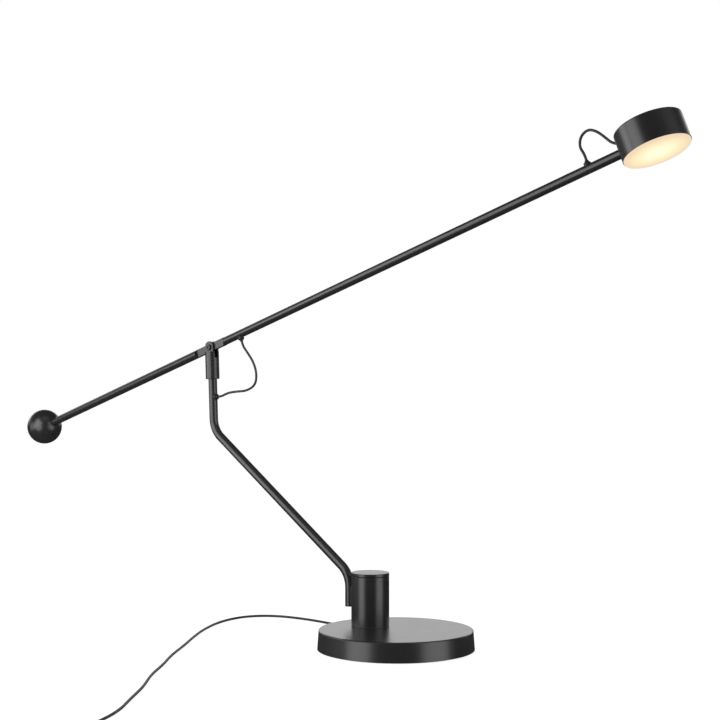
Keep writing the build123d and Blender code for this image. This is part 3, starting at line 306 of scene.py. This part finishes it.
def make_loops(material):
    """The loop at the pivot, in two halves because it crosses two joints, and the loop at the head."""
    line = centreline(PIVOT_LOOP, LOOP_STEPS)
    meeting = (PIVOT_LOOP[PIVOT_LOOP_SPLIT] + PIVOT_LOOP[PIVOT_LOOP_SPLIT + 1]) / 2
    nearest = min(range(len(line)), key=lambda i: (line[i] - meeting).length)
    lower = line[: nearest + 1]
    upper = line[nearest:]
    make_loop("pivot_loop_at_stem", lower, "pivot_loop_lower", material)
    make_loop(
        "pivot_loop_at_arm", upper, "pivot_loop_upper", material,
    )
    line = centreline(HEAD_LOOP, LOOP_STEPS)
    make_loop("head_loop_lead", line, "head_loop", material)


# ---------------------------------------------------------------- materials
# A Mix node's sockets, by number, because those of every kind of value have the same names
MIX_FACTOR = 0
MIX_VALUE_A = 2
MIX_VALUE_B = 3
MIX_COLOR_A = 6
MIX_COLOR_B = 7
MIXED_VALUE = 0
MIXED_COLOR = 2

GRAIN_DETAIL = 3.0
GRAIN_ROUGHNESS = 0.6
MOTTLE_SCALE = 38.0
MOTTLE_DETAIL = 4.0
MOTTLE_ROUGHNESS = 0.55
MOTTLE_LOW = 0.3            # at this value of the noise a patch is darkest and smoothest
MOTTLE_HIGH = 0.7           # and at this one brightest and roughest
BUMP_HEIGHT = 0.0001


def node_adder(tree):
    """A function that adds a node to this tree, with its sockets and properties by name."""
    def add(kind, **values):
        node = tree.nodes.new(kind)
        for key, value in values.items():
            socket = key.replace("_", " ")
            if socket in node.inputs:
                node.inputs[socket].default_value = value
            else:
                setattr(node, key, value)
        return node

    return add


def new_material(name):
    """A material with only a Principled shader, and what adds to it."""
    material = bpy.data.materials.new(name)
    material.use_nodes = True
    tree = material.node_tree
    return material, tree.links.new, tree.nodes["Principled BSDF"], node_adder(tree)


def set_ramp(ramp, stops):
    """Gives a colour ramp its stops, each a position and a colour."""
    elements = ramp.color_ramp.elements
    for position, _ in stops[1:-1]:
        elements.new(position)
    for element, (position, color) in zip(elements, stops):
        element.position = position
        element.color = (*color, 1.0)


def finish_material(name, color, roughness, spread, grain, bump, metallic=0.0, specular=0.5, mottle=0.15):
    """A coated, moulded or machined surface. In soft patches its roughness swings by the spread, and its
    colour by the mottle's share. The grain is the scale of its fine bumps."""
    material, link, shader, add = new_material(name)
    place = add("ShaderNodeTexCoord").outputs["Object"]
    fine = add("ShaderNodeTexNoise", Scale=grain, Detail=GRAIN_DETAIL, Roughness=GRAIN_ROUGHNESS)
    broad = add("ShaderNodeTexNoise", Scale=MOTTLE_SCALE, Detail=MOTTLE_DETAIL, Roughness=MOTTLE_ROUGHNESS)
    link(place, fine.inputs["Vector"])
    link(place, broad.inputs["Vector"])

    def patches(middle, swing):
        """A value that goes from the middle less the swing to the middle plus the swing."""
        part = add("ShaderNodeMapRange", From_Min=MOTTLE_LOW, From_Max=MOTTLE_HIGH)
        part.inputs["To Min"].default_value = middle - swing
        part.inputs["To Max"].default_value = middle + swing
        link(broad.outputs["Fac"], part.inputs["Value"])
        return part.outputs["Result"]

    shade = add("ShaderNodeMix", data_type="RGBA", blend_type="MULTIPLY")
    shade.inputs[MIX_FACTOR].default_value = 1.0
    shade.inputs[MIX_COLOR_A].default_value = (*color, 1.0)
    link(patches(1.0, mottle), shade.inputs[MIX_COLOR_B])
    link(shade.outputs[MIXED_COLOR], shader.inputs["Base Color"])
    link(patches(roughness, spread), shader.inputs["Roughness"])
    relief = add("ShaderNodeBump", Strength=bump, Distance=BUMP_HEIGHT)
    link(fine.outputs["Fac"], relief.inputs["Height"])
    link(relief.outputs["Normal"], shader.inputs["Normal"])
    shader.inputs["Metallic"].default_value = metallic
    shader.inputs["Specular IOR Level"].default_value = specular
    return material


GLOW_RADIUS = 0.0357        # of the head's lit face, where the last of these colours is
GLOW_COLORS = (
    (0.0, (1.0, 0.97, 0.74)), (0.30, (1.0, 0.92, 0.64)), (0.62, (0.97, 0.80, 0.50)),
    (0.88, (0.84, 0.67, 0.44)), (1.0, (0.78, 0.62, 0.43)),
)
GLOW_STRENGTH = 1.03
OPAL_COLOR = (0.08, 0.07, 0.05, 1.0)    # dark, so that the room's light adds little to the glow
OPAL_ROUGHNESS = 0.5
OPAL_SPECULAR = 0.1


def glow_material():
    """The lit opal face: brightest in the middle, warmer and dimmer towards the rim."""
    material, link, shader, add = new_material("opal_face_lit")
    place = add("ShaderNodeTexCoord").outputs["Object"]
    from_middle = add("ShaderNodeVectorMath", operation="SUBTRACT")
    from_middle.inputs[1].default_value = HEAD_MIDDLE
    link(place, from_middle.inputs[0])
    plane = add("ShaderNodeCombineXYZ")
    for socket, direction in (("X", HEAD_OUT), ("Y", (0.0, 1.0, 0.0))):
        part = add("ShaderNodeVectorMath", operation="DOT_PRODUCT")
        part.inputs[1].default_value = direction
        link(from_middle.outputs[0], part.inputs[0])
        link(part.outputs["Value"], plane.inputs[socket])
    distance = add("ShaderNodeVectorMath", operation="LENGTH")
    link(plane.outputs[0], distance.inputs[0])
    share = add("ShaderNodeMath", operation="DIVIDE")
    share.inputs[1].default_value = GLOW_RADIUS
    link(distance.outputs["Value"], share.inputs[0])
    ramp = add("ShaderNodeValToRGB")
    set_ramp(ramp, GLOW_COLORS)
    link(share.outputs[0], ramp.inputs["Fac"])
    link(ramp.outputs["Color"], shader.inputs["Emission Color"])
    shader.inputs["Emission Strength"].default_value = GLOW_STRENGTH
    shader.inputs["Base Color"].default_value = OPAL_COLOR
    shader.inputs["Roughness"].default_value = OPAL_ROUGHNESS
    shader.inputs["Specular IOR Level"].default_value = OPAL_SPECULAR
    return material


TRACE_SCALE = 420.0
MASK_COLORS = ((0.05, (0.03, 0.16, 0.07)), (0.09, (0.015, 0.09, 0.04)))
MASK_ROUGHNESS = 0.4
MASK_BUMP = 0.2


def circuit_material():
    """Green solder mask with copper traces as faint raised lines."""
    material, link, shader, add = new_material("solder_mask")
    place = add("ShaderNodeTexCoord").outputs["Object"]
    lanes = add("ShaderNodeTexVoronoi", Scale=TRACE_SCALE, feature="DISTANCE_TO_EDGE")
    link(place, lanes.inputs["Vector"])
    ramp = add("ShaderNodeValToRGB")
    set_ramp(ramp, MASK_COLORS)
    link(lanes.outputs["Distance"], ramp.inputs["Fac"])
    link(ramp.outputs["Color"], shader.inputs["Base Color"])
    relief = add("ShaderNodeBump", Strength=MASK_BUMP, Distance=BUMP_HEIGHT)
    link(lanes.outputs["Distance"], relief.inputs["Height"])
    link(relief.outputs["Normal"], shader.inputs["Normal"])
    shader.inputs["Roughness"].default_value = MASK_ROUGHNESS
    return material


def coatings():
    """The painted and blackened metal."""
    return {
        "coat": finish_material(
            "satin_black_coat", color=(0.0135, 0.013, 0.0132), roughness=0.29, spread=0.006,
            grain=2600.0, bump=0.12, mottle=0.08,
        ),
        "fastener": finish_material(
            "blackened_steel", color=(0.03, 0.03, 0.032), roughness=0.32, spread=0.05,
            grain=900.0, bump=0.15, metallic=0.6,
        ),
    }


def rubbers_and_plastics():
    """The leads, the soft parts and everything moulded."""
    return {
        "lead": finish_material(
            "lead_sheath", color=(0.016, 0.016, 0.017), roughness=0.5, spread=0.05,
            grain=1400.0, bump=0.15, specular=0.4,
        ),
        "rubber": finish_material(
            "moulded_rubber", color=(0.010, 0.010, 0.010), roughness=0.55, spread=0.05,
            grain=1800.0, bump=0.3, specular=0.35,
        ),
        "foam": finish_material(
            "foam_rubber", color=(0.006, 0.006, 0.006), roughness=0.9, spread=0.04,
            grain=1500.0, bump=0.8, specular=0.05,
        ),
        "case": finish_material(
            "textured_case", color=(0.022, 0.022, 0.024), roughness=0.48, spread=0.04,
            grain=1100.0, bump=0.5, specular=0.45,
        ),
        "nylon": finish_material(
            "black_nylon", color=(0.02, 0.02, 0.02), roughness=0.45, spread=0.04,
            grain=900.0, bump=0.2,
        ),
        "white_mask": finish_material(
            "white_solder_mask", color=(0.82, 0.82, 0.80), roughness=0.45, spread=0.04,
            grain=900.0, bump=0.1,
        ),
        "phosphor": finish_material(
            "phosphor_gel", color=(0.85, 0.65, 0.12), roughness=0.35, spread=0.04,
            grain=900.0, bump=0.1,
        ),
        "reflector": finish_material(
            "white_moulding", color=(0.88, 0.88, 0.86), roughness=0.3, spread=0.04,
            grain=900.0, bump=0.06,
        ),
    }


def bare_metals():
    """The machined and plated metal inside the lamp and under it."""
    return {
        "steel": finish_material(
            "turned_steel", color=(0.42, 0.42, 0.42), roughness=0.34, spread=0.05,
            grain=900.0, bump=0.3, metallic=1.0,
        ),
        "zinc": finish_material(
            "zinc_plate", color=(0.60, 0.60, 0.58), roughness=0.32, spread=0.06,
            grain=700.0, bump=0.15, metallic=1.0,
        ),
        "nickel": finish_material(
            "nickel_plate", color=(0.72, 0.70, 0.66), roughness=0.2, spread=0.04,
            grain=700.0, bump=0.08, metallic=1.0,
        ),
        "brass": finish_material(
            "turned_brass", color=(0.75, 0.55, 0.25), roughness=0.28, spread=0.05,
            grain=800.0, bump=0.15, metallic=1.0,
        ),
        "aluminium": finish_material(
            "machined_aluminium", color=(0.76, 0.76, 0.77), roughness=0.35, spread=0.05,
            grain=600.0, bump=0.2, metallic=1.0,
        ),
    }


def make_materials():
    """Every material by name."""
    return {
        **coatings(),
        **rubbers_and_plastics(),
        **bare_metals(),
        "glow": glow_material(),
        "circuit": circuit_material(),
    }


NODE_MATERIALS = {
    "coat": (
        "base_cover", "column_tube", "dimmer_knob", "stem_tube", "stem_end_plug", "stem_saddle",
        "fork_sleeve", "pivot_bar", "rear_rod", "counterweight_ball", "arm_tube", "head_shell",
        "head_collar",
    ),
    "fastener": ("saddle_screws", "pivot_bolt", "ball_grub_screw"),
    "lead": ("base_lead", "stem_lead", "arm_lead", "head_lead"),
    "rubber": ("stem_grommet", "arm_grommets", "head_gland", "base_lead_relief", "adapter_relief"),
    "foam": ("base_pad",),
    "case": ("adapter_rear_shell", "adapter_front_shell"),
    "nylon": ("swivel_washer", "friction_washers"),
    "steel": ("base_weight",),
    "zinc": (
        "base_plate", "base_screws", "swivel_hub", "hub_nuts", "wave_washer", "pot_bracket", "dimmer_pot",
        "stem_spigot", "spigot_screw", "head_bolt", "head_screws",
    ),
    "nickel": ("adapter_pins",),
    "brass": ("swivel_bush", "arm_end_bush"),
    "aluminium": ("column_floor", "heat_sink", "head_swivel_seat"),
    "white_mask": ("led_board",),
    "phosphor": ("led_chips",),
    "reflector": ("reflector",),
    "glow": ("diffuser",),
    "circuit": ("driver_board", "adapter_board"),
}
SMOOTH_BELOW = math.radians(32.0)


def dress_nodes(materials):
    """Every CAD node gets its material and smooth shading between its sharp edges."""
    for kind, names in NODE_MATERIALS.items():
        for name in names:
            mesh = nodes[name].data
            mesh.materials.clear()
            mesh.materials.append(materials[kind])
            mesh.shade_smooth()
            mesh.set_sharp_from_angle(angle=SMOOTH_BELOW)


# ---------------------------------------------------------------- floor and room
WHITE = (1.0, 1.0, 1.0, 1.0)
FLOOR_REACH = 14.0
FLOOR_DROP = 0.0004         # below the foot pad, so that the two don't share a face
FLOOR_COLOR = (0.9, 0.9, 0.9, 1.0)
FLOOR_GLOW = 1.19
FLOOR_GLOW_SHARE = 0.72     # of what the camera sees of the floor; the rest takes the shadow


def stage_material():
    """White floor that keeps a soft shadow. Reflections look through it to the lights and the room."""
    material = bpy.data.materials.new("paper")
    material.use_nodes = True
    tree = material.node_tree
    tree.nodes.clear()
    add = node_adder(tree)
    link = tree.links.new
    diffuse = add("ShaderNodeBsdfDiffuse", Color=FLOOR_COLOR)
    glow = add("ShaderNodeEmission", Color=WHITE, Strength=FLOOR_GLOW)
    clear = add("ShaderNodeBsdfTransparent")
    rays = add("ShaderNodeLightPath")
    share = add("ShaderNodeMath", operation="MULTIPLY")
    share.inputs[1].default_value = FLOOR_GLOW_SHARE
    link(rays.outputs["Is Camera Ray"], share.inputs[0])
    paper = add("ShaderNodeMixShader")
    link(share.outputs[0], paper.inputs[0])
    link(diffuse.outputs[0], paper.inputs[1])
    link(glow.outputs[0], paper.inputs[2])
    seen = add("ShaderNodeMixShader")
    link(rays.outputs["Is Glossy Ray"], seen.inputs[0])
    link(paper.outputs[0], seen.inputs[1])
    link(clear.outputs[0], seen.inputs[2])
    output = add("ShaderNodeOutputMaterial")
    link(seen.outputs[0], output.inputs["Surface"])
    return material


def make_floor():
    """One wide sheet under the lamp."""
    corners = [
        (x * FLOOR_REACH, y * FLOOR_REACH, -FLOOR_DROP) for x, y in ((-1, -1), (1, -1), (1, 1), (-1, 1))
    ]
    floor = new_mesh("floor", corners, [(0, 1, 2, 3)], smooth=False)
    floor.data.materials.append(stage_material())


# What reflections show of the room: a bright band behind the lamp, low above the horizon, and little else
BAND_LEVEL = 1.65
BAND_SIDES = (0.2, 0.8)         # cosines to the viewing direction where the band begins and is full
BAND_BOTTOM = (0.03, 0.12)      # sines of the height above the horizon where it begins and is full
BAND_TOP = (0.46, 0.26)         # and where it ends and is still full
DIM_LEVEL = 0.05                # everywhere else, between the soft boxes
FILL_LEVEL = 0.55               # the light that the room gives to matt surfaces


def make_room():
    """White to the camera, an even fill for matt surfaces, and the bright band for reflections."""
    world = bpy.data.worlds.new("room")
    bpy.context.scene.world = world
    world.use_nodes = True
    tree = world.node_tree
    tree.nodes.clear()
    add = node_adder(tree)
    link = tree.links.new
    way = add("ShaderNodeTexCoord").outputs["Generated"]

    def share(towards, limits):
        """How much of the band a direction shows: none at the first cosine to it, all at the second."""
        cosine = add("ShaderNodeVectorMath", operation="DOT_PRODUCT")
        cosine.inputs[1].default_value = towards
        link(way, cosine.inputs[0])
        none_at, all_at = limits
        part = add("ShaderNodeMapRange", interpolation_type="SMOOTHSTEP", From_Min=none_at, From_Max=all_at)
        link(cosine.outputs["Value"], part.inputs["Value"])
        return part.outputs["Result"]

    def combined(operation, first, second):
        """Two values in one, where the second may be a plain number."""
        node = add("ShaderNodeMath", operation=operation)
        link(first, node.inputs[0])
        if isinstance(second, float):
            node.inputs[1].default_value = second
        else:
            link(second, node.inputs[1])
        return node.outputs[0]

    upwards = (0.0, 0.0, 1.0)
    band = combined("MULTIPLY", share(TOWARDS_SCENE, BAND_SIDES), share(upwards, BAND_BOTTOM))
    band = combined("MULTIPLY", band, share(upwards, BAND_TOP))
    band = combined("MULTIPLY", band, BAND_LEVEL)
    reflected = combined("ADD", band, DIM_LEVEL)
    rays = add("ShaderNodeLightPath")
    light = add("ShaderNodeMix")
    light.inputs[MIX_VALUE_A].default_value = FILL_LEVEL
    link(rays.outputs["Is Glossy Ray"], light.inputs[MIX_FACTOR])
    link(reflected, light.inputs[MIX_VALUE_B])
    seen = add("ShaderNodeMix")
    seen.inputs[MIX_VALUE_B].default_value = 1.0
    link(rays.outputs["Is Camera Ray"], seen.inputs[MIX_FACTOR])
    link(light.outputs[MIXED_VALUE], seen.inputs[MIX_VALUE_A])
    background = add("ShaderNodeBackground", Color=WHITE)
    link(seen.outputs[MIXED_VALUE], background.inputs["Strength"])
    output = add("ShaderNodeOutputWorld")
    link(background.outputs[0], output.inputs["Surface"])


# ---------------------------------------------------------------- lights
LIT_POINT = Vector((0.0, 0.0, 0.30))    # where every soft box aims


def soft_box(name, turn, distance, height, size, radiance):
    """A rectangular light round the lamp: turn is in degrees from the camera's side towards its right, and
    the height is above the point that it aims at."""
    angle = math.radians(turn)
    side = TOWARDS_RIGHT * math.sin(angle) - TOWARDS_SCENE * math.cos(angle)
    data = bpy.data.lights.new(name, "AREA")
    data.shape = "RECTANGLE"
    data.size, data.size_y = size
    data.energy = radiance * math.pi * size[0] * size[1]
    light = bpy.data.objects.new(name, data)
    light.location = LIT_POINT + side * distance + Vector((0.0, 0.0, height))
    light.rotation_euler = (LIT_POINT - light.location).to_track_quat("-Z", "Y").to_euler()
    bpy.context.scene.collection.objects.link(light)


def make_lights():
    """Soft boxes whose images are the bands along the column, the tubes and the head."""
    soft_box("left_box", turn=-56.0, distance=1.2, height=0.12, size=(0.80, 1.4), radiance=3.4)
    soft_box("arm_panel", turn=-90.0, distance=1.0, height=0.21, size=(0.46, 0.80), radiance=3.5)
    soft_box("rod_panel", turn=-103.0, distance=1.35, height=-0.03, size=(0.50, 0.46), radiance=1.8)
    soft_box("right_box", turn=58.0, distance=3.2, height=0.35, size=(2.5, 3.6), radiance=2.7)
    soft_box("overhead", turn=0.0, distance=0.9, height=2.3, size=(1.6, 1.6), radiance=0.5)


# ---------------------------------------------------------------- the scene
make_camera()
materials = make_materials()
make_supply_lead(materials["lead"])
make_loops(materials["lead"])
dress_nodes(materials)
make_floor()
make_room()
make_lights()
bpy.context.scene.view_settings.view_transform = "Standard"
